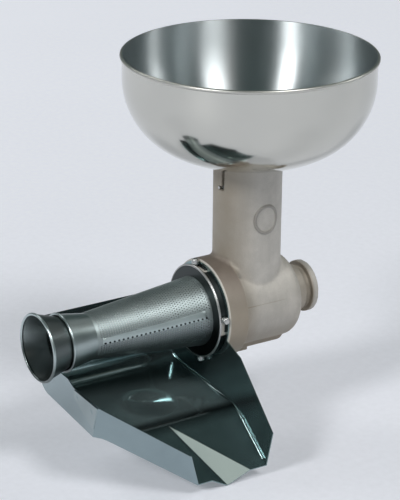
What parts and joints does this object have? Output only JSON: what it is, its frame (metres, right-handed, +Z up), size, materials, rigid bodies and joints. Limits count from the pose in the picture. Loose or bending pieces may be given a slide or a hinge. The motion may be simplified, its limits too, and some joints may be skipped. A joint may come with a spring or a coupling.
{
  "type": "food mill head",
  "caption": "Motor-driven food mill head with a round hopper, cast body, feed screw, perforated strainer cone, flared waste outlet and a folded drip tray with a grooved spout.",
  "frame": {"origin": "centre of the drive flange's rear face", "axes": "+Y along the feed screw's axis towards the drive, +Z up along the feed neck, +X to the side that the spout pours to"},
  "size_m": [0.2451, 0.3512, 0.3757],
  "materials": {
    "cast_grey": "matt, tinned casting",
    "bright_steel": "satin polish",
    "dark_steel": "dull, dark",
    "tray_steel": "bright rolled sheet",
    "plain_steel": "turned",
    "bronze": "machined",
    "black_rubber": "matt",
    "white_plastic": "moulded"
  },
  "bodies": {
    "body": {"body_casting": "cast_grey", "bayonet_studs": "plain_steel", "rear_bush": "bronze", "shaft_seal": "black_rubber", "thrust_washer": "white_plastic", "tray_pan": "tray_steel", "tray_front_plate": "tray_steel", "tray_rear_plate": "tray_steel", "tray_corner_tab": "tray_steel", "tab_rivets": "plain_steel"},
    "auger": {"auger_shaft": "plain_steel", "auger_screw": "white_plastic", "auger_cross_pin": "plain_steel"},
    "strainer": {"strainer_cone": "dark_steel", "cone_flange": "dark_steel", "seam_strip": "dark_steel", "seam_rivets": "dark_steel", "front_sleeve": "dark_steel", "waste_outlet": "dark_steel"},
    "hopper": {"hopper_bowl": "bright_steel", "hopper_tube": "bright_steel", "hopper_pins": "plain_steel"}
  },
  "joints": [
    {"name": "auger_spin", "type": "hinge", "parent": "body", "child": "auger", "pos_m": [0, 0, 0], "axis": [0, 1, 0], "continuous": true},
    {"name": "strainer_twist", "type": "hinge", "parent": "body", "child": "strainer", "pos_m": [0, -0.1236, 0], "axis": [0, -1, 0], "range_deg": [0, 20]},
    {"name": "hopper_twist", "type": "hinge", "parent": "body", "child": "hopper", "pos_m": [0, -0.069, 0.1203], "axis": [0, 0, 1], "range_deg": [0, 9.1]}
  ]
}
